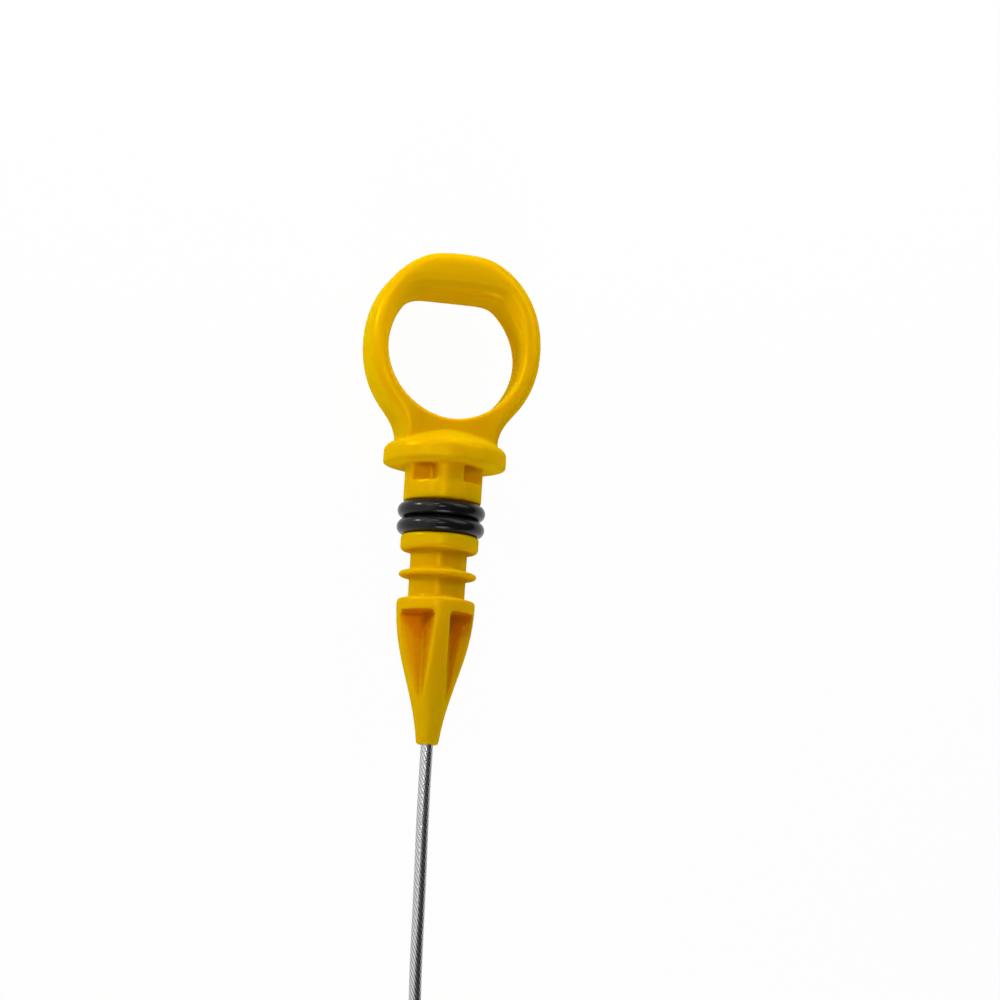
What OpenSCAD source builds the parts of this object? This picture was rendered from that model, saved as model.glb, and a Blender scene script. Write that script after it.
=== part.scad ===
// Engine oil dipstick: a moulded ring handle with two seals, on a wire rope that ends in a gauge blade.
// The handle lies on its flange with its axis along Y, the ring towards +Y and the rope towards -Y.

/* [Nose] */
// Length of the ribbed nose, from the tip to the top of its collar
nose_len = 28.75; // [26:0.05:34]
// Radius of the nose at the tip
tip_r = 2.25; // [1.9:0.05:2.8]
// Length over which the nose swells to its full radius
swell_len = 27.3; // [24:0.1:28.2]
// Solid collar above the four pockets
collar_len = 2.6; // [1.5:0.1:4]
// Width of a nose rib at its root, by the collar
rib_w = 5.2; // [4.9:0.1:6]
// Width of a nose rib at its root, by the tip
rib_tip_w = 4.7; // [3.8:0.1:4.8]
// Angle by which each side of a nose rib leans in towards its outer face
rib_draft = 13; // [0:0.5:16]
// Corner radius at the top of a pocket
pocket_r = 0.7; // [0.4:0.1:1.6]

/* [Body] */
// Radius of the seal lands and of the collar of the nose
body_r = 7.8; // [7.6:0.05:8.6]
// Radius of the spindle between the nose and the lower land
spindle_r = 5.65; // [4.5:0.05:6.8]
// Length of the spindle
spindle_len = 9.75; // [8:0.05:14]
// Radius of the thin guide disc
disc_r = 7.8; // [7.2:0.05:8.6]
// Thickness of the guide disc
disc_t = 1.1; // [1:0.1:2.6]
// Distance from the nose collar to the guide disc
disc_gap = 4.5; // [1:0.05:5]
// Length of the land below the seals
lower_land = 3.1; // [2:0.1:5]
// Length of the land above the seals
upper_land = 3.85; // [2:0.05:6]
// Length of the windowed neck under the flange
neck_len = 3.65; // [2:0.05:6]
// Width of a rib of the neck
neck_rib_w = 5.3; // [4:0.1:7]

/* [Seals] */
// Diameter of the rubber section
seal_t = 3.2; // [2.6:0.1:3.2]
// Outer diameter of a seal
seal_od = 17.55; // [17.2:0.05:18.4]
// Distance between the two seals, centre to centre
seal_pitch = 3.3; // [3.25:0.05:4]
// Gap between a seal and each end of the groove
seal_side_gap = 0.1; // [0.05:0.05:0.5]
// Gap between a seal and the floor of the groove
seal_seat_gap = 0.02; // [0.01:0.01:0.1]

/* [Flange] */
// Radius of the flange, which is also the height of the axis
flange_r = 12.3; // [12:0.1:15]
// Height of the rim of the flange
rim_h = 4.1; // [3:0.1:6]
// Radius of the lower edge of the rim
rim_low_r = 0.3; // [0.2:0.1:1.2]
// Radius of the upper edge of the rim
rim_top_r = 1.65; // [0.3:0.05:1.8]
// Rise of the cone on top of the flange, up to the stem
cone_h = 2.3; // [1.5:0.1:4]

/* [Ring] */
// Radius of the finger hole
hole_r = 13.95; // [12:0.05:14.5]
// Fullness of the finger hole, where 2 is a circle
hole_fullness = 1.92; // [1.8:0.02:2.2]
// Height of the flat ceiling above the centre of the hole
ceiling_h = 11.4; // [10:0.1:12]
// Distance from the flange to the centre of the hole
hole_h = 18.9; // [18:0.1:21]
// Half width of the outside of the ring
ring_half_w = 17.5; // [16.5:0.1:20]
// Half height of the oval that the outside follows
ring_half_h = 19; // [18:0.1:22]
// Height of the centre of that oval above the centre of the hole
oval_rise = 1.45; // [0:0.05:2]
// Height of the flat crown above the centre of the hole
crown_h = 20.15; // [18:0.05:21]
// Thickness of the ring from front to back
ring_depth = 11.8; // [10:0.1:14]
// Half width of the stem between the ring and the flange
stem_half_w = 9.55; // [8:0.05:10]
// Softness of the hollow between the ring and the stem
flank_blend = 5.1; // [2:0.1:8]
// Softness of the shoulders of the crown
crown_blend = 1.3; // [0.2:0.1:2]
// Softness of the corners of the ceiling
ceiling_blend = 1.4; // [0.5:0.1:3]
// Fullness of that oval, where 2 is an ellipse
fullness = 2.08; // [1.9:0.02:2.3]
// Radius of the outer edges of the ring
ring_edge_r = 2.2; // [0.6:0.1:2.4]
// Radius of the edges of the finger hole
hole_edge_r = 0.5; // [0.4:0.1:1]
// Height of the rounded front edge of the finger bar at the top of the hole
bar_edge_h = 4.1; // [1:0.1:4.4]
// Depth of that edge from front to back
bar_edge_d = 2.8; // [1:0.1:4.4]
// Radius of the back edge of the finger bar
bar_back_r = 0.9; // [0.6:0.1:2]
// Angle over which the front edge of the bar fades into the hole's edge
bar_fade = 55; // [10:1:60]

/* [Rope] */
// Diameter of the wire rope
rope_d = 2.5; // [2:0.1:2.8]
// Radial gap between the rope and what is moulded or crimped on it
rope_gap = 0.02; // [0.01:0.01:0.1]
// Length of rope inside the nose
anchor_len = 24; // [18:0.5:25]
// Outer diameter of the ferrule on the buried end
ferrule_d = 4.4; // [3.6:0.1:4.6]
// Length of that ferrule
ferrule_len = 8; // [5:0.5:12]
// Diameter of the coil at the middle of its turns
coil_d = 30; // [26:1:40]
// Height from one turn of the coil to the next
coil_pitch = 2.6; // [2.5:0.05:3]

/* [Gauge blade] */
// Length of the barrel that is rolled round the rope
barrel_len = 8; // [6:0.5:12]
// Wall of the barrel
barrel_wall = 0.5; // [0.4:0.05:0.8]
// Width of the slit where the barrel closes
slit_w = 0.3; // [0.2:0.05:0.6]
// Length of the flat blade
blade_len = 33; // [28:0.5:34]
// Width of the blade
blade_w = 6; // [5:0.1:8]
// Thickness of the blade
blade_t = 0.8; // [0.6:0.05:1.2]
// Length of the taper between the barrel and the blade
blade_taper = 5; // [3:0.5:8]
// Diameter of the holes that mark the two oil levels
mark_d = 1.6; // [1:0.1:2.4]
// Distance from the end of the blade to the lower mark
low_mark = 5; // [4:0.5:8]
// Distance between the two marks
mark_span = 15; // [8:0.5:17]

/* [Hidden] */
smooth = 96;
arc_steps = 4;
over = 1;

plastic = [0.91, 0.72, 0.03];
rubber = [0.07, 0.07, 0.08];
steel = [0.62, 0.64, 0.66];
bright_steel = [0.74, 0.75, 0.76];

// Heights along the axis, from the tip of the nose
collar_z = nose_len - collar_len;
disc_z = nose_len + disc_gap;
lower_land_z = nose_len + spindle_len;
groove_z = lower_land_z + lower_land;
groove_len = seal_pitch + seal_t + 2 * seal_side_gap;
upper_land_z = groove_z + groove_len;
neck_z = upper_land_z + upper_land;
flange_z = neck_z + neck_len;
flange_top_z = flange_z + rim_h;
hole_z = flange_top_z + hole_h;
handle_len = hole_z + outside_at(90);

// The handle lies with its middle over the origin and the flange on the floor
tip_y = -handle_len / 2;
axis_z = flange_r;

seal_mid_r = (seal_od - seal_t) / 2;
groove_r = seal_mid_r - seal_t / 2 - seal_seat_gap;
land_break = 0.25;
collar_break = 0.3;
tip_break = 0.3;
land_round = 0.7;
tip_flare = 1.05;
low_pull = 0.385;
high_pull = 0.65;
cone_sink = 1.5;

rope_r = rope_d / 2;
rope_sides = 8;
coil_r = coil_d / 2;
coil_turns = 2.5;
coil_in_z = rope_r + coil_pitch * coil_turns;
coil_y = -106;
coil_leave = 80;
tail_gap = 3;
tail_lead = 8;

// Route of the rope from the nose to the coil: x, y from the nose, share of the drop still to go.
// Only the last y, coil_y, places the coil.
run_route = [
    [0, 0, 1], [0, -8, 1], [0.1, -16, 0.98], [0.3, -24, 0.94], [0.5, -32, 0.87],
    [0.7, -40, 0.78], [1, -48, 0.68], [1.5, -55, 0.58], [2.7, -62, 0.48], [4.7, -69, 0.38],
    [7.2, -76, 0.29], [9.8, -83, 0.21], [12.1, -90, 0.13], [14.1, -98, 0.05], [coil_r, coil_y, 0]
];

// Route of the rope from the bottom of the coil to the blade: angle round the coil, radius added, lift
tail_route = [
    [-coil_leave, 0, 0], [-100, 0.2, 0], [-120, 0.6, 0], [-140, 1.2, 0], [-160, 2, 0], [-180, 2.6, 0.1]
];
tail_x = -coil_r - tail_gap;
barrel_r = rope_r + rope_gap + barrel_wall;
barrel_y = coil_y + tail_lead;

// Points of a circular arc about [x, y]
function arc(x, y, r, from, to, steps = arc_steps) =
    [for (i = [0 : steps]) let (a = from + (to - from) * i / steps) [x + r * cos(a), y + r * sin(a)]];

// Point of a cubic curve at share t of its way
function bezier(p, t) =
    pow(1 - t, 3) * p[0] + 3 * pow(1 - t, 2) * t * p[1] + 3 * (1 - t) * t * t * p[2] + t * t * t * p[3];

function soft_min(a, b, k) = let (h = max(k - abs(a - b), 0) / k) min(a, b) - h * h * k / 4;
function soft_max(a, b, k) = -soft_min(-a, -b, k);

// Outline of the nose: slim at the tip, swelling to the full radius
nose_curve_steps = 18;
nose_curve = let (p = [[tip_r, tip_break], [tip_r + tip_flare, swell_len * low_pull],
                       [body_r, swell_len * high_pull], [body_r, swell_len]])
    [for (i = [0 : nose_curve_steps]) bezier(p, i / nose_curve_steps)];

// Half outline of everything that is turned about the axis
cone_slope = atan2(cone_h, flange_r - ring_depth / 2);
cone_top_r = ring_depth / 2 - cone_sink;
cone_top_z = flange_top_z + cone_h + cone_sink * tan(cone_slope);
turned_outline = concat(
    [[0, 0], [tip_r - tip_break, 0]],
    nose_curve,
    [[body_r, nose_len - collar_break], [body_r - collar_break, nose_len], [spindle_r, nose_len],
     [spindle_r, disc_z]],
    arc(disc_r - disc_t / 2, disc_z + disc_t / 2, disc_t / 2, -90, 90, 2 * arc_steps),
    [[spindle_r, disc_z + disc_t], [spindle_r, lower_land_z]],
    arc(body_r - land_round, lower_land_z + land_round, land_round, -90, 0),
    [[body_r, groove_z - land_break], [body_r - land_break, groove_z], [groove_r, groove_z],
     [groove_r, upper_land_z], [body_r - land_break, upper_land_z], [body_r, upper_land_z + land_break],
     [body_r, flange_z]],
    arc(flange_r - rim_low_r, flange_z + rim_low_r, rim_low_r, -90, 0),
    arc(flange_r - rim_top_r, flange_top_z - rim_top_r, rim_top_r, 0, 90 - cone_slope),
    [[cone_top_r, cone_top_z], [0, cone_top_z]]
);

// Radius of the finger hole in direction a
function full_hole_at(a) =
    hole_r * pow(pow(abs(cos(a)), hole_fullness) + pow(abs(sin(a)), hole_fullness), -1 / hole_fullness);
function hole_at(a) = soft_min(full_hole_at(a), ceiling_h / max(sin(a), 0.01), ceiling_blend);

// Radius of the oval outside in direction a, found by halving
function past_oval(r, a) = pow(abs(r * cos(a)) / ring_half_w, fullness)
    + pow(abs(r * sin(a) - oval_rise) / ring_half_h, fullness) > 1;
function oval_at(a, low = 0, high = 2 * ring_half_h, halvings = 20) =
    let (mid = (low + high) / 2)
    halvings == 0 ? mid :
    past_oval(mid, a) ? oval_at(a, low, mid, halvings - 1) : oval_at(a, mid, high, halvings - 1);

// Radius of the stem in direction a, down to the inside of the flange
stem_foot = hole_h + rim_h / 2;
function stem_at(a) = sin(a) > -0.05 ? 0 :
    min(stem_half_w / max(abs(cos(a)), 0.01), stem_foot / -sin(a));

function outside_at(a) =
    soft_max(soft_min(oval_at(a), crown_h / max(sin(a), 0.01), crown_blend), stem_at(a), flank_blend);

// The edges of the hole grow rounder along the finger bar
bar_angle = acos(min(1, ceiling_h / hole_r));
function step_up(t) = let (u = max(0, min(1, t))) u * u * (3 - 2 * u);
function inner_edge_at(a, bar_edge) =
    hole_edge_r + (bar_edge - hole_edge_r) * step_up((bar_angle + bar_fade - abs(a - 90)) / bar_fade);

// One section of the ring: a rectangle with four rounded corners, in the plane of direction a
function ring_section(a) =
    let (near = hole_at(a), far = outside_at(a), half = ring_depth / 2, back = inner_edge_at(a, bar_back_r),
         front_h = inner_edge_at(a, bar_edge_h), front_d = inner_edge_at(a, bar_edge_d))
    concat(arc(far - ring_edge_r, half - ring_edge_r, ring_edge_r, 0, 90),
           arc(near + back, half - back, back, 90, 180),
           [for (p = arc(1, 1, 1, 180, 270)) [near + front_h * p[0], front_d * p[1] - half]],
           arc(far - ring_edge_r, ring_edge_r - half, ring_edge_r, 270, 360));

ring_steps = 96;
section_points = 4 * (arc_steps + 1);

module revolved(points) {
    rotate_extrude($fn = smooth) polygon(points);
}

// Places what is modelled about a vertical axis, tip down, where the handle lies
module laid() {
    translate([0, tip_y, axis_z]) rotate([-90, 0, 0]) children();
}

module ring_loft() {
    angles = [for (i = [0 : ring_steps - 1]) -90 + 360 * i / ring_steps];
    points = [for (a = angles, p = ring_section(a > 180 ? a - 360 : a))
        [p[0] * cos(a), p[1], hole_z + p[0] * sin(a)]];
    faces = [for (i = [0 : ring_steps - 1], j = [0 : section_points - 1])
        let (n = (i + 1) % ring_steps, k = (j + 1) % section_points,
             a = i * section_points + j, b = i * section_points + k,
             c = n * section_points + k, d = n * section_points + j)
        each [[a, c, b], [a, d, c]]];
    polyhedron(points, faces, convexity = 6);
}

// Space beside a nose rib, with a rounded top corner
module beside_rib() {
    foot_z = -over;
    reach = body_r + over;
    rotate([90, 0, 0]) linear_extrude(2 * reach, center = true)
        polygon(concat([[rib_tip_w / 2, foot_z], [reach, foot_z], [reach, collar_z]],
                       arc(rib_w / 2 + pocket_r, collar_z - pocket_r, pocket_r, 90, 180)));
}

// Turns the side of a rib about the rib's root
module leant(angle) {
    root = [rib_w / 2, rib_w / 2, 0];
    translate(root) rotate([0, 0, angle]) translate(-root) children();
}

// Space between two nose ribs
module nose_pocket() {
    intersection() {
        leant(rib_draft) beside_rib();
        leant(-rib_draft) rotate([0, 0, 90]) beside_rib();
    }
}

module neck_window() {
    translate([neck_rib_w / 2, neck_rib_w / 2, neck_z]) cube([body_r, body_r, neck_len]);
}

module handle() {
    color(plastic) laid() difference() {
        union() {
            revolved(turned_outline);
            ring_loft();
        }
        for (quarter = [0 : 3]) rotate([0, 0, 90 * quarter]) {
            nose_pocket();
            neck_window();
        }
        translate([0, 0, -over]) cylinder(r = rope_r + rope_gap, h = anchor_len + over, $fn = smooth);
        translate([0, 0, anchor_len - ferrule_len - rope_gap])
            cylinder(r = ferrule_d / 2 + rope_gap, h = ferrule_len + 2 * rope_gap, $fn = smooth);
    }
}

module seal_at(z) {
    color(rubber) laid() translate([0, 0, z])
        rotate_extrude($fn = smooth) translate([seal_mid_r, 0]) circle(d = seal_t, $fn = smooth);
}

module o_ring_lower() {
    seal_at(groove_z + seal_side_gap + seal_t / 2);
}

module o_ring_upper() {
    seal_at(groove_z + seal_side_gap + seal_t / 2 + seal_pitch);
}

module cable_anchor() {
    color(steel) laid() cylinder(d = rope_d, h = anchor_len, $fn = smooth);
}

module anchor_ferrule() {
    color(bright_steel) laid() translate([0, 0, anchor_len - ferrule_len]) difference() {
        cylinder(d = ferrule_d, h = ferrule_len, $fn = smooth);
        translate([0, 0, -over]) cylinder(r = rope_r + rope_gap, h = ferrule_len + 2 * over, $fn = smooth);
    }
}

// Tube swept along a list of points
function along(p, i) = let (d = p[min(i + 1, len(p) - 1)] - p[max(i - 1, 0)]) d / norm(d);
module swept_rope(p, first, last) {
    n = len(p);
    s = rope_sides;
    dirs = [for (i = [0 : n - 1]) i == 0 ? first : i == n - 1 ? last : along(p, i)];
    points = [for (i = [0 : n - 1])
        let (side = cross(dirs[i], [0, 0, 1]), u = side / norm(side), v = cross(u, dirs[i]))
        for (j = [0 : s - 1]) let (a = 360 * (j + 0.5) / s) p[i] + rope_r * (u * cos(a) + v * sin(a))];
    walls = [for (i = [0 : n - 2], j = [0 : s - 1])
        let (k = (j + 1) % s, a = i * s + j, b = i * s + k, c = a + s, d = b + s)
        each [[a, b, d], [a, d, c]]];
    ends = [[for (j = [0 : s - 1]) s - 1 - j], [for (j = [0 : s - 1]) (n - 1) * s + j]];
    polyhedron(points, concat(walls, ends), convexity = 4);
}

module cable_run() {
    color(steel) translate([0, tip_y, 0])
        swept_rope([for (p = run_route) [p[0], p[1], coil_in_z + (axis_z - coil_in_z) * p[2]]],
                   [0, -1, 0], [0, -1, 0]);
}

// Outer shape of the coil: open above the half turn that the rope comes in over, and below where it leaves
module cable_coil() {
    reach = coil_r + rope_d;
    top_z = coil_in_z - rope_r;
    leave = [reach * cos(coil_leave), -reach * sin(coil_leave)];
    color(steel) translate([0, tip_y + coil_y, 0]) difference() {
        rotate_extrude($fn = smooth) translate([coil_r - rope_r, 0]) square([rope_d, coil_in_z + rope_r]);
        translate([-reach, 0, top_z]) cube([2 * reach, reach, rope_d + over]);
        translate([0, 0, -over]) linear_extrude(coil_pitch + over)
            polygon([[0, 0], [-reach, 0], [-reach, -reach], [leave[0], -reach], leave]);
    }
}

module cable_tail() {
    on_coil = [for (p = tail_route) let (r = coil_r + p[1])
        [r * cos(p[0]), coil_y + r * sin(p[0]), rope_r + p[2]]];
    color(steel) translate([0, tip_y, 0])
        swept_rope(concat(on_coil, [[tail_x, coil_y + tail_lead / 2, (rope_r + barrel_r) / 2],
                                    [tail_x, barrel_y, barrel_r],
                                    [tail_x, barrel_y + barrel_len, barrel_r]]),
                   [-sin(coil_leave), -cos(coil_leave), 0], [0, 1, 0]);
}

// Flat blade, its narrow end under the barrel
module blade_outline() {
    tip_cut = blade_w / 3;
    polygon([[-barrel_r, -over], [barrel_r, -over], [barrel_r, 0], [blade_w / 2, blade_taper],
             [blade_w / 2, blade_len - tip_cut], [blade_w / 2 - tip_cut, blade_len],
             [tip_cut - blade_w / 2, blade_len], [-blade_w / 2, blade_len - tip_cut],
             [-blade_w / 2, blade_taper], [-barrel_r, 0]]);
}

module gauge_tip() {
    color(bright_steel) translate([tail_x, tip_y + barrel_y, 0]) difference() {
        union() {
            translate([0, 0, barrel_r]) rotate([-90, 0, 0])
                cylinder(r = barrel_r, h = barrel_len, $fn = smooth);
            translate([0, barrel_len, 0]) linear_extrude(blade_t) blade_outline();
        }
        translate([0, -over, barrel_r]) rotate([-90, 0, 0])
            cylinder(r = rope_r + rope_gap, h = barrel_len + over, $fn = smooth);
        translate([-slit_w / 2, -over, barrel_r]) cube([slit_w, barrel_len + 2 * over, barrel_r + over]);
        for (mark = [low_mark, low_mark + mark_span])
            translate([0, barrel_len + blade_len - mark, -over])
                cylinder(d = mark_d, h = blade_t + 2 * over, $fn = smooth);
    }
}

handle();
o_ring_lower();
o_ring_upper();
cable_anchor();
anchor_ferrule();
cable_run();
cable_coil();
cable_tail();
gauge_tip();
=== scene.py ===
# Engine oil dipstick: a yellow ring handle with two seals, on a wire rope that ends in a gauge blade.
# The handle lies on its flange with the ring towards +Y and the rope towards -Y. Lengths are in metres.
import math

import bmesh
import bpy
from mathutils import Matrix, Vector
from mathutils.bvhtree import BVHTree


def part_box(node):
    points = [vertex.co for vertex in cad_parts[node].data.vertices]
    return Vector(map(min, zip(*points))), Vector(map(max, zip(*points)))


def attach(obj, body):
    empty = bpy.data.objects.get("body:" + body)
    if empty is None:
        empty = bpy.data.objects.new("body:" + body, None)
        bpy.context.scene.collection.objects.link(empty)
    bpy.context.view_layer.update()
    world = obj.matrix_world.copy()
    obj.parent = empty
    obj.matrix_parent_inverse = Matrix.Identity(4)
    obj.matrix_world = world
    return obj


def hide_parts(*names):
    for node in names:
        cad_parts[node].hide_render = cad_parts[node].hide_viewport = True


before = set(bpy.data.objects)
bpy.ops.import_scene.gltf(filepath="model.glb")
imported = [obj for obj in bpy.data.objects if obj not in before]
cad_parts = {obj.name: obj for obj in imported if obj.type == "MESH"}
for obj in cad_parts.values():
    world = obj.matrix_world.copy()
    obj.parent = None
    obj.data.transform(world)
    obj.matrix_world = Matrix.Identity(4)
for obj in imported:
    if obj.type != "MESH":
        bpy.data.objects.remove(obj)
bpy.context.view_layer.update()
mm = 0.001

handleLow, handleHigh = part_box("handle")
tipY = handleLow.y                               # the end of the nose, where the rope comes out
axisZ = (handleLow.z + handleHigh.z) / 2         # height of the long axis
white = (1, 1, 1, 1)


photoCamera = {
    "yaw": 12.92,                                # degrees to the left of straight above
    "tilt": 9.1,                                 # degrees from straight above towards the nose
    "roll": 3.41,                                # degrees the picture is turned
    "pivot": (0, -0.38 * mm, 12.3 * mm),         # a point on the long axis, just above the seals
    "pivotPixel": (442.12, 500.62),              # where the picture shows it
    "pixelsPerMetre": 5004,
    "distance": 0.707,
    "pictureSize": 1000,
    "sensor": 36,
    "clip": (0.01, 20),
}


def cameraAxes():
    yaw, tilt, roll = (math.radians(photoCamera[key]) for key in ("yaw", "tilt", "roll"))
    back = Vector((-math.sin(yaw) * math.cos(tilt), -math.sin(tilt), math.cos(yaw) * math.cos(tilt)))
    right = Vector((0, 1, 0)).cross(back).normalized()
    up = back.cross(right)
    turned = right * math.cos(roll) + up * math.sin(roll)
    return turned, back.cross(turned), back


def addCamera():
    right, up, back = cameraAxes()
    middle = photoCamera["pictureSize"] / 2
    scale = photoCamera["pixelsPerMetre"]
    aside = (photoCamera["pivotPixel"][0] - middle) / scale
    above = (middle - photoCamera["pivotPixel"][1]) / scale
    place = Vector(photoCamera["pivot"]) - right * aside - up * above + back * photoCamera["distance"]
    data = bpy.data.cameras.new("photoCamera")
    data.sensor_width = photoCamera["sensor"]
    data.lens = photoCamera["sensor"] * photoCamera["distance"] * scale / photoCamera["pictureSize"]
    data.clip_start, data.clip_end = photoCamera["clip"]
    camera = bpy.data.objects.new("photoCamera", data)
    camera.matrix_world = Matrix.Translation(place) @ Matrix((right, up, back)).transposed().to_4x4()
    bpy.context.scene.collection.objects.link(camera)
    bpy.context.scene.camera = camera


studio = {
    "lamps": {                                   # direction as the camera sees it: right, up, towards it
        "topLamp": {"from": (0.2, 0.96, 0.17), "away": 0.22, "size": 0.16, "level": 0.32},
        "topLeftLamp": {"from": (-0.5, 0.7, 0.5), "away": 0.22, "size": 0.14, "level": 0.09},
        "topRightLamp": {"from": (0.5, 0.7, 0.5), "away": 0.22, "size": 0.14, "level": 0.11},
        "leftLamp": {"from": (-0.5, 0.3, 0.81), "away": 0.3, "size": 0.08, "level": 0.07},
        "faceLamp": {"from": (0.02, 0.1, 0.99), "away": 0.3, "size": 0.06, "level": 0.13},
        "lowLamp": {"from": (0, -0.85, 0.5), "away": 0.4, "size": 0.16, "level": 0.26},
        "rightLamp": {"from": (0.8, 0.45, 0.4), "away": 0.22, "size": 0.16, "level": 0.32},
        "keyLamp": {"from": (-0.83, 0.48, 0.30), "away": 0.35, "size": 0.05, "level": 0.36},
        "frontLamp": {"from": (-0.17, 0.65, 0.73), "away": 0.45, "size": 0.05, "level": 0.12},
    },
    "aim": Vector((0, 42 * mm, 12.3 * mm)),      # what the lamps point at: the upper part of the ring
    "floorSize": 3,
    "floorColor": (0.9, 0.9, 0.9, 1),
    "floorShade": 0.97,                          # share of plain white over the lit floor
    "worldLevel": 0.1,
    "mirrored": [(0.12, white), (0.24, white), (0.33, (0.05, 0.05, 0.05, 1)),
                 (1, (0.03, 0.03, 0.03, 1))],    # what metal mirrors, from left to right
}


def addLamps():
    right, up, back = cameraAxes()
    for name, lamp in studio["lamps"].items():
        x, y, z = lamp["from"]
        direction = (right * x + up * y + back * z).normalized()
        data = bpy.data.lights.new(name, "AREA")
        data.shape = "DISK"
        data.size = lamp["size"]
        data.energy = lamp["level"] * (math.pi * lamp["away"]) ** 2     # level 1 lights white as white
        item = bpy.data.objects.new(name, data)
        item.location = studio["aim"] + direction * lamp["away"]
        item.rotation_euler = direction.to_track_quat("Z", "Y").to_euler()
        bpy.context.scene.collection.objects.link(item)


class Wire:
    # one socket of a node tree, with sums
    def __init__(self, tree, socket):
        self.tree, self.socket = tree, socket

    def math(self, operation, other):
        return self.tree.node("ShaderNodeMath", {"operation": operation}, {0: self, 1: other})

    def __add__(self, other):
        return self.math("ADD", other)

    __radd__ = __add__

    def __mul__(self, other):
        return self.math("MULTIPLY", other)

    __rmul__ = __mul__


class Tree:
    # the nodes of one material or of the world
    def __init__(self, owner):
        owner.use_nodes = True
        self.nodes, self.links = owner.node_tree.nodes, owner.node_tree.links
        self.nodes.clear()

    def node(self, kind, settings=None, inputs=None, output=0):
        made = self.nodes.new(kind)
        for name, value in (settings or {}).items():
            if name == "stops":
                ramp = made.color_ramp.elements
                while len(ramp) < len(value):
                    ramp.new(0.5)
                for stop, (position, color) in zip(ramp, value):
                    stop.position, stop.color = position, color
            else:
                setattr(made, name, value)
        for name, value in (inputs or {}).items():
            if isinstance(value, Wire):
                self.links.new(value.socket, made.inputs[name])
            else:
                made.inputs[name].default_value = value
        return Wire(self, made.outputs[output]) if len(made.outputs) else made

    def blend(self, factor, first, second):
        return self.node("ShaderNodeMix", {"data_type": "RGBA"}, {0: factor, 6: first, 7: second}, 2)

    def place(self, kind):
        return self.node("ShaderNodeTexCoord", None, None, kind)

    def noise(self, scale, detail=3, place=None):
        return self.node("ShaderNodeTexNoise", None,
                         {"Vector": place or self.place("Object"), "Scale": scale, "Detail": detail})

    def attribute(self, name):
        return self.node("ShaderNodeAttribute", {"attribute_name": name}, None, "Fac")

    def rayIs(self, kind):
        return self.node("ShaderNodeLightPath", None, None, "Is " + kind + " Ray")

    def bump(self, look, height):
        return self.node("ShaderNodeBump", None,
                         {"Strength": look["bump"], "Distance": look["bumpDepth"], "Height": height})

    def finish(self, shader, kind="ShaderNodeOutputMaterial"):
        self.node(kind, None, {"Surface": shader})


def newMaterial(name):
    material = bpy.data.materials.new(name)
    return material, Tree(material)


yellowLook = {
    "pale": (0.80, 0.49, 0.001, 1),
    "deep": (0.79, 0.45, 0.001, 1),
    "index": 1.49,
    "shine": (0.9, 0.8, 0.02, 1),                # what it mirrors is yellow too, also at its edges
    "shineLevel": 0.0,
    "gloss": 0.12,
    "glow": 0.8,                                 # share of the light that goes through the skin
    "glowDepth": 3 * mm,
    "glowColor": (1, 0.35, 0.01),
    "cavity": (0.64, 0.18, 0.001, 1),            # painted shade in pockets, a deeper orange for light that has gone through the plastic
    "paintedWindowLight": (1, 0.58, 0.001, 1),               # painted light in the neck's windows, a lighter yellow for the light that comes through
    "mottleScale": 90,
    "roughScale": 360,
    "roughLow": 0.28,
    "roughSpan": 0.1,
    "grainScale": 2600,
    "grainShare": 0.15,                          # its height beside the waves
    "waveScale": 160,
    "bump": 0.12,
    "bumpDepth": 0.05 * mm,
}


def yellowPlastic():
    look = yellowLook
    material, tree = newMaterial("yellowPlastic")
    bare = tree.blend(tree.noise(look["mottleScale"]), look["pale"], look["deep"])
    # painted shade deepens the colour in pockets, and painted light lifts it in the neck's windows
    withPaintedShade = tree.blend(tree.attribute(cavity["attribute"]), bare, look["cavity"])
    color = tree.blend(tree.attribute(cavity["windowAttribute"]), withPaintedShade, look["paintedWindowLight"])
    rough = tree.noise(look["roughScale"]) * look["roughSpan"] + look["roughLow"]
    grain, wave = (tree.noise(look[key], detail=2) for key in ("grainScale", "waveScale"))
    tree.finish(tree.node("ShaderNodeBsdfPrincipled", None, {
        "Base Color": color, "Roughness": rough, "IOR": look["index"], "Metallic": look["gloss"],
        "Normal": tree.bump(look, grain * look["grainShare"] + wave),
        "Specular IOR Level": look["shineLevel"], "Specular Tint": look["shine"],
        "Subsurface Weight": look["glow"], "Subsurface Radius": look["glowColor"],
        "Subsurface Scale": look["glowDepth"]}))
    return material


rubberLook = {
    "dark": (0.004, 0.004, 0.005, 1),
    "dusty": (0.008, 0.008, 0.009, 1),
    "shineLevel": 0.23,
    "dustScale": 700,
    "roughLow": 0.2,
    "roughSpan": 0.08,
    "grainScale": 3000,
    "bump": 0.1,
    "bumpDepth": 0.01 * mm,
}


def blackRubber():
    look = rubberLook
    material, tree = newMaterial("blackRubber")
    dust = tree.noise(look["dustScale"], detail=4)
    tree.finish(tree.node("ShaderNodeBsdfPrincipled", None, {
        "Base Color": tree.blend(dust, look["dark"], look["dusty"]),
        "Roughness": dust * look["roughSpan"] + look["roughLow"],
        "Normal": tree.bump(look, tree.noise(look["grainScale"], detail=2)),
        "Specular IOR Level": look["shineLevel"]}))
    return material


steelLooks = {
    "ropeSteel": {"pale": (0.7, 0.705, 0.71, 1), "dull": (0.56, 0.565, 0.57, 1), "scale": 1500,
                  "stretch": (1, 1, 1), "roughLow": 0.22, "roughSpan": 0.1,
                  "bump": 0.03, "bumpDepth": 0.02 * mm},
    "bladeSteel": {"pale": (0.66, 0.665, 0.67, 1), "dull": (0.52, 0.525, 0.53, 1), "scale": 900,
                   "stretch": (3, 0.08, 3), "roughLow": 0.24, "roughSpan": 0.2,
                   "bump": 0.25, "bumpDepth": 0.02 * mm},
}


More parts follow.
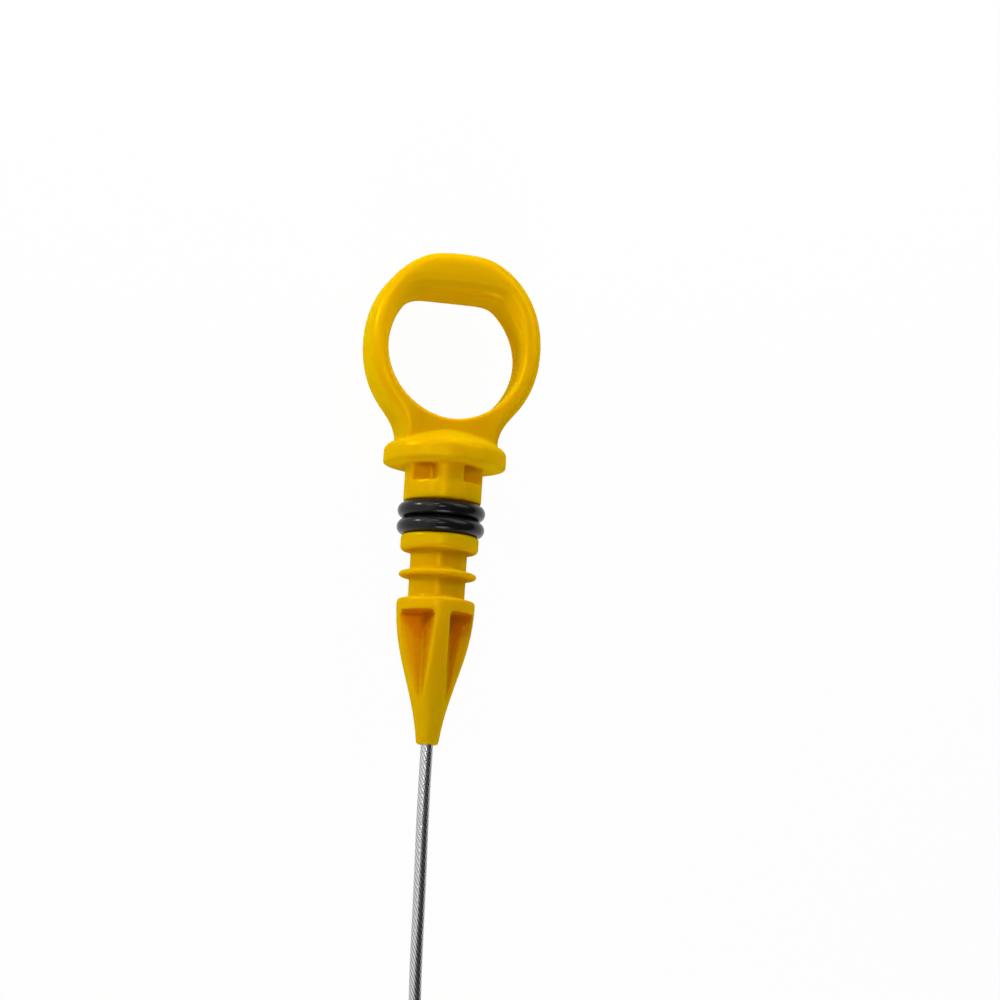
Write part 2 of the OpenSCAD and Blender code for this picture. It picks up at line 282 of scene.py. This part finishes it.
def steel(name):
    look = steelLooks[name]
    material, tree = newMaterial(name)
    drawn = tree.node("ShaderNodeMapping", None, {"Vector": tree.place("Object"), "Scale": look["stretch"]})
    streak = tree.noise(look["scale"], detail=4, place=drawn)
    metal = tree.blend(streak, look["pale"], look["dull"])
    # painted shade: the rope's grooves between wires are darkened towards near black
    tree.finish(tree.node("ShaderNodeBsdfPrincipled", None, {
        "Base Color": tree.blend(tree.attribute(ropeShape["attribute"]), metal, ropeShape["paintedGrooveShade"]),
        "Roughness": streak * look["roughSpan"] + look["roughLow"],
        "Normal": tree.bump(look, streak), "Metallic": 1.0}))
    return material


def seenRays(tree):
    # 1 for the camera and for mirror and glass rays, which see the plain background
    return (tree.rayIs("Camera") + tree.rayIs("Glossy") + tree.rayIs("Transmission")).math("MINIMUM", 1.0)


def addFloor():
    material, tree = newMaterial("whiteFloor")
    lit = tree.node("ShaderNodeBsdfDiffuse", None, {"Color": studio["floorColor"]})
    plain = tree.node("ShaderNodeEmission", None, {"Color": white, "Strength": 1.0})
    factor = seenRays(tree) * studio["floorShade"]
    tree.finish(tree.node("ShaderNodeMixShader", None, {0: factor, 1: lit, 2: plain}))
    bm = bmesh.new()
    bmesh.ops.create_grid(bm, x_segments=1, y_segments=1, size=studio["floorSize"] / 2)
    floor = newPiece("floor", bm, material)


def addWorld():
    world = bpy.data.worlds.new("studioWorld")
    bpy.context.scene.world = world
    tree = Tree(world)
    across = tree.node("ShaderNodeSeparateXYZ", None, {"Vector": tree.place("Generated")})   # from -1 to 1
    mirrored = tree.node("ShaderNodeValToRGB", {"stops": studio["mirrored"]}, {"Fac": across * 0.5 + 0.5})
    background = tree.blend(tree.rayIs("Glossy"), white, mirrored)
    seen = tree.node("ShaderNodeBackground", None, {"Color": background, "Strength": 1.0})
    lit = tree.node("ShaderNodeBackground", None, {"Color": white, "Strength": studio["worldLevel"]})
    shader = tree.node("ShaderNodeMixShader", None, {0: seenRays(tree), 1: lit, 2: seen})
    tree.finish(shader, "ShaderNodeOutputWorld")


def newPiece(name, bm, material):
    mesh = bpy.data.meshes.new(name)
    bm.to_mesh(mesh)
    bm.free()
    mesh.shade_smooth()
    mesh.materials.append(material)
    piece = bpy.data.objects.new(name, mesh)
    bpy.context.scene.collection.objects.link(piece)
    return piece


def settle(piece):
    # its mesh with the modifiers applied
    bpy.context.view_layer.update()
    mesh = bpy.data.meshes.new_from_object(piece.evaluated_get(bpy.context.evaluated_depsgraph_get()))
    piece.modifiers.clear()
    piece.data = mesh


weldDistance = 0.002 * mm


def mergedCopy(node):
    bm = bmesh.new()
    bm.from_mesh(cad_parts[node].data)
    bmesh.ops.remove_doubles(bm, verts=bm.verts, dist=weldDistance)
    return bm


# settings for painted shade in hollows and painted light in the neck's windows, from how much of each
# point's view the piece closes
cavity = {
    "attribute": "enclosed",
    "rays": 100,
    "flattest": 0.1,                             # rays that lie flatter on the skin aren't sent
    "reach": 14 * mm,
    "lift": 0.05 * mm,
    "start": 0.04,                               # share of closed rays that still counts as open
    "strength": 0.7,
    "noseStrength": 5.5,
    "noseEnd": tipY + 28 * mm,                   # the pockets of the nose lie before it
    # attribute that carries the painted light in the neck's windows
    "windowAttribute": "through",
    "windowStrength": 2.5,
    "windowPlace": (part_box("o_ring_upper")[1].y, handleHigh.y - 42.7 * mm),      # up to the flange
}


def evenRays(count):
    # directions spread evenly over the sphere
    golden = math.pi * (3 - math.sqrt(5))
    rays = []
    for i in range(count):
        height = 1 - 2 * (i + 0.5) / count
        flat = math.sqrt(1 - height * height)
        rays.append(Vector((flat * math.cos(golden * i), flat * math.sin(golden * i), height)))
    return rays


def markPaintedShadeAndLight(mesh):
    # how much of each point's view is closed by the piece itself, as a mask of painted light for the
    # windows of the neck and a mask of painted shade for the rest
    bm = bmesh.new()
    bm.from_mesh(mesh)
    tree = BVHTree.FromBMesh(bm)
    bm.free()
    rays = evenRays(cavity["rays"])
    low, high = cavity["windowPlace"]
    enclosed, through = [], []
    for vert in mesh.vertices:
        normal = vert.normal
        start = vert.co + normal * cavity["lift"]
        sent = closed = 0
        for ray in rays:
            weight = ray.dot(normal)
            if weight > cavity["flattest"]:
                sent += weight
                if tree.ray_cast(start, ray, cavity["reach"])[0]:
                    closed += weight
        closed = max(0, closed / sent - cavity["start"])
        strength = cavity["noseStrength"] if vert.co.y < cavity["noseEnd"] else cavity["strength"]
        inWindow = low < vert.co.y < high
        enclosed.append(0 if inWindow else min(1, closed * strength))
        through.append(min(1, closed * cavity["windowStrength"]) if inWindow else 0)
    for name, values in ((cavity["attribute"], enclosed), (cavity["windowAttribute"], through)):
        mesh.attributes.new(name, "FLOAT", "POINT").data.foreach_set("value", values)


handleShape = {
    "voxel": 0.3 * mm,                           # fineness of the moulding's skin
    "softening": 2,                              # passes that round every edge a little
    "softness": 0.5,
}


def addHandle(material):
    piece = newPiece("ringHandle", mergedCopy("handle"), material)
    remesh = piece.modifiers.new("skin", "REMESH")
    remesh.mode = "VOXEL"
    remesh.voxel_size = handleShape["voxel"]
    settle(piece)
    bm = bmesh.new()
    bm.from_mesh(piece.data)
    for _ in range(handleShape["softening"]):
        bmesh.ops.smooth_vert(bm, verts=bm.verts, factor=handleShape["softness"],
                              use_axis_x=True, use_axis_y=True, use_axis_z=True)
    bm.to_mesh(piece.data)
    bm.free()
    piece.data.shade_smooth()
    piece.data.materials.clear()
    piece.data.materials.append(material)
    markPaintedShadeAndLight(piece.data)
    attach(piece, "root")
    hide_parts("handle")
    print("handle:", len(piece.data.polygons), "faces")


sealShape = {
    "roundSegments": 36,
    "spinSteps": 144,
    "weld": 0.001 * mm,
}


def addSeal(name, node, material):
    low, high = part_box(node)
    radius = (high.y - low.y) / 2                # of the rubber's section
    middle = (high.x - low.x) / 2 - radius
    centre = (low + high) / 2
    bm = bmesh.new()
    ring = bmesh.ops.create_circle(bm, cap_ends=False, radius=radius, segments=sealShape["roundSegments"])
    place = Matrix.Translation(centre + Vector((middle, 0, 0)))
    bmesh.ops.transform(bm, matrix=place, verts=ring["verts"])
    bmesh.ops.spin(bm, geom=bm.verts[:] + bm.edges[:], cent=centre, axis=(0, 1, 0), angle=2 * math.pi,
                   steps=sealShape["spinSteps"], use_merge=True)
    bmesh.ops.remove_doubles(bm, verts=bm.verts, dist=sealShape["weld"])
    bmesh.ops.recalc_face_normals(bm, faces=bm.faces)
    piece = newPiece(name, bm, material)
    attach(piece, "root")
    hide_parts(node)


ropeShape = {
    "diameter": 2.5 * mm,
    "wires": 11,
    "wireRadius": 0.28 * mm,
    "relief": 0.22,                              # share of a round wire's depth, as its rope is pressed
    "lay": 13.3 * mm,                            # length of one twist
    "step": 0.6 * mm,
    "wirePoints": (-1, -0.7, -0.25, 0.25, 0.7),  # across one wire, in halves of its share of the turn
    "attribute": "groove",
    "grooveShade": (0.8, 0.3, 0, 0, 0.3),        # painted shade of the grooves between wires, at each of these points
    # colour of the painted shade in the grooves
    "paintedGrooveShade": (0.01, 0.01, 0.01, 1),
    "grooveAngle": 25,                           # degrees between faces that meet in a groove
    "coilRadius": 15 * mm,
    "coilPitch": 2.6 * mm,
    "coilTurns": 2.5,
    "coilY": -106 * mm,                          # from the nose
    "coilAngle": 800,                            # degrees of rope on the coil
    "coilStep": 6,                               # degrees
    "settleAngle": 180,                          # the last of the coil, which comes down to the floor
    "tailX": -18 * mm,
    "barrelLead": 8 * mm,
    "barrelLength": 8 * mm,
    "barrelRadius": 1.77 * mm,
    "barrelStops": (0, 0.5, 0.95),               # points in the barrel, as shares of its length
    "curveParts": 8,                             # of the curve between two of these points
}
# x, y from the nose, share of the drop to the coil's top turn that is still to go
runRoute = [
    (0, 0, 1), (0, -8, 1), (0.1, -16, 0.98), (0.3, -24, 0.94), (0.5, -32, 0.87), (0.7, -40, 0.78),
    (1, -48, 0.68), (1.5, -55, 0.58), (2.7, -62, 0.48), (4.7, -69, 0.38), (7.2, -76, 0.29),
    (9.8, -83, 0.21), (12.1, -90, 0.13), (14.1, -98, 0.05), (15, -106, 0),
]
# degrees round the coil, radius added, lift
tailRoute = [(-100, 0.2, 0), (-120, 0.6, 0), (-140, 1.2, 0), (-160, 2, 0), (-180, 2.6, 0.1)]


def onCoil(reach, degrees, height):
    turn = math.radians(degrees)
    return Vector((reach * math.cos(turn), ropeShape["coilY"] + reach * math.sin(turn), height))


def ropePoints():
    # from the nose down to the coil, round it, and into the blade's barrel
    shape = ropeShape
    radius, ropeRadius, coilStep = shape["coilRadius"], shape["diameter"] / 2, shape["coilStep"]
    topZ = ropeRadius + shape["coilPitch"] * shape["coilTurns"]
    points = [Vector((x * mm, y * mm, topZ + (axisZ - topZ) * share)) for x, y, share in runRoute]
    lowest = topZ - shape["coilPitch"] * shape["coilAngle"] / 360 - ropeRadius
    for angle in range(coilStep, shape["coilAngle"] + 1, coilStep):
        late = max(0, (angle - shape["coilAngle"] + shape["settleAngle"]) / shape["settleAngle"])
        settled = lowest * late * late * (3 - 2 * late)
        points.append(onCoil(radius, -angle, topZ - shape["coilPitch"] * angle / 360 - settled))
    for angle, added, lift in tailRoute:
        points.append(onCoil(radius + added * mm, angle, ropeRadius + lift * mm))
    tailX, barrelRadius = shape["tailX"], shape["barrelRadius"]
    leadY, barrelY = (shape["coilY"] + shape["barrelLead"] * share for share in (0.5, 1))
    points.append(Vector((tailX, leadY, (ropeRadius + barrelRadius) / 2)))
    for share in shape["barrelStops"]:
        points.append(Vector((tailX, barrelY + shape["barrelLength"] * share, barrelRadius)))
    return [point + Vector((0, tipY, 0)) for point in points]


def evenRoute(points, step):
    # one smooth curve through the points, cut at equal steps
    parts = ropeShape["curveParts"]
    fine = []
    ends = [points[0] * 2 - points[1]] + points + [points[-1] * 2 - points[-2]]
    for a, b, c, d in zip(ends, ends[1:], ends[2:], ends[3:]):
        for i in range(parts):
            t = i / parts
            fine.append((b * 2 + (c - a) * t + (a * 2 - b * 5 + c * 4 - d) * t ** 2
                         + (b * 3 - a - c * 3 + d) * t ** 3) / 2)
    fine.append(points[-1])
    lengths = [0]
    for a, b in zip(fine, fine[1:]):
        lengths.append(lengths[-1] + (b - a).length)
    count = round(lengths[-1] / step)
    even, at = [], 0
    for i in range(count + 1):
        wanted = lengths[-1] * i / count
        while at < len(fine) - 2 and lengths[at + 1] < wanted:
            at += 1
        share = (wanted - lengths[at]) / (lengths[at + 1] - lengths[at])
        even.append(fine[at].lerp(fine[at + 1], share))
    return even, lengths[-1]


def ropeSection():
    # points round the rope, with the painted groove shade of each
    shape = ropeShape
    ropeRadius, wireRadius = shape["diameter"] / 2, shape["wireRadius"]
    wireRing = ropeRadius - wireRadius
    turnPerWire = 2 * math.pi / shape["wires"]
    points = []
    for wire in range(shape["wires"]):
        for part, shade in zip(shape["wirePoints"], shape["grooveShade"]):
            off = part * turnPerWire / 2
            reach = wireRing * math.cos(off) + math.sqrt(wireRadius ** 2 - (wireRing * math.sin(off)) ** 2)
            reach = ropeRadius * (1 - shape["relief"]) + reach * shape["relief"]
            angle = wire * turnPerWire + off
            points.append((Vector((reach * math.cos(angle), reach * math.sin(angle), 0)), shade))
    return points


def addRope(material):
    shape = ropeShape
    route, length = evenRoute(ropePoints(), shape["step"])
    bm = bmesh.new()
    layer = bm.verts.layers.float.new(shape["attribute"])
    verts = []
    for point, shade in ropeSection():
        verts.append(bm.verts.new(point))
        verts[-1][layer] = shade
    edges = [bm.edges.new(pair) for pair in zip(verts, verts[1:] + verts[:1])]
    firstEdges = edges
    side = Vector((1, 0, 0))
    was = None
    for i, point in enumerate(route):
        ahead = (route[min(i + 1, len(route) - 1)] - route[max(i - 1, 0)]).normalized()
        side = (side - ahead * side.dot(ahead)).normalized()     # carried along without a twist of its own
        facing = Matrix((side, ahead.cross(side), ahead)).transposed().to_4x4()
        twist = Matrix.Rotation(-2 * math.pi * i * length / (len(route) - 1) / shape["lay"], 4, "Z")
        here = Matrix.Translation(point) @ facing @ twist
        if was is None:
            bmesh.ops.transform(bm, matrix=here, verts=verts)
        else:
            grown = bmesh.ops.extrude_edge_only(bm, edges=edges)["geom"]
            verts = [item for item in grown if isinstance(item, bmesh.types.BMVert)]
            newVerts = set(verts)
            edges = [item for item in grown if isinstance(item, bmesh.types.BMEdge)
                     and newVerts.issuperset(item.verts)]
            bmesh.ops.transform(bm, matrix=here @ was.inverted(), verts=verts)
        was = here
    for rim in (firstEdges, edges):
        bmesh.ops.contextual_create(bm, geom=rim)
    bmesh.ops.recalc_face_normals(bm, faces=bm.faces)
    piece = newPiece("wireRope", bm, material)
    piece.data.set_sharp_from_angle(angle=math.radians(shape["grooveAngle"]))
    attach(piece, "root")
    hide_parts("cable_run", "cable_coil", "cable_tail")
    print("rope:", round(length * 1000), "mm,", len(piece.data.polygons), "faces")


bladeShape = {
    "flat": 1,                                   # degrees between faces that are made one
    "edge": 0.12 * mm,
    "segments": 2,
    "sharp": 40,                                 # degrees between faces whose edge is rounded
    "largeFaces": 100,                           # how much they lead the shading at the edges
}


def addBlade(material):
    bm = mergedCopy("gauge_tip")
    flat = math.radians(bladeShape["flat"])
    bmesh.ops.dissolve_limit(bm, angle_limit=flat, verts=bm.verts, edges=bm.edges)
    piece = newPiece("gaugeBlade", bm, material)
    bevel = piece.modifiers.new("edges", "BEVEL")
    bevel.width = bladeShape["edge"]
    bevel.segments = bladeShape["segments"]
    bevel.limit_method = "ANGLE"
    bevel.angle_limit = math.radians(bladeShape["sharp"])
    weighted = piece.modifiers.new("flatFaces", "WEIGHTED_NORMAL")
    weighted.weight = bladeShape["largeFaces"]
    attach(piece, "root")
    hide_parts("gauge_tip")


def dressNode(node, material):
    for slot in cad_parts[node].material_slots:
        slot.material = material


bpy.context.scene.view_settings.view_transform = "Standard"
addCamera()
ropeSteel, bladeSteel = steel("ropeSteel"), steel("bladeSteel")
addBlade(bladeSteel)
addRope(ropeSteel)
print("camera and rope stand")

addHandle(yellowPlastic())
rubber = blackRubber()
addSeal("lowerSeal", "o_ring_lower", rubber)
addSeal("upperSeal", "o_ring_upper", rubber)
dressNode("cable_anchor", ropeSteel)
dressNode("anchor_ferrule", bladeSteel)
print("pieces stand")

addFloor()
addWorld()
addLamps()
print("studio stands")
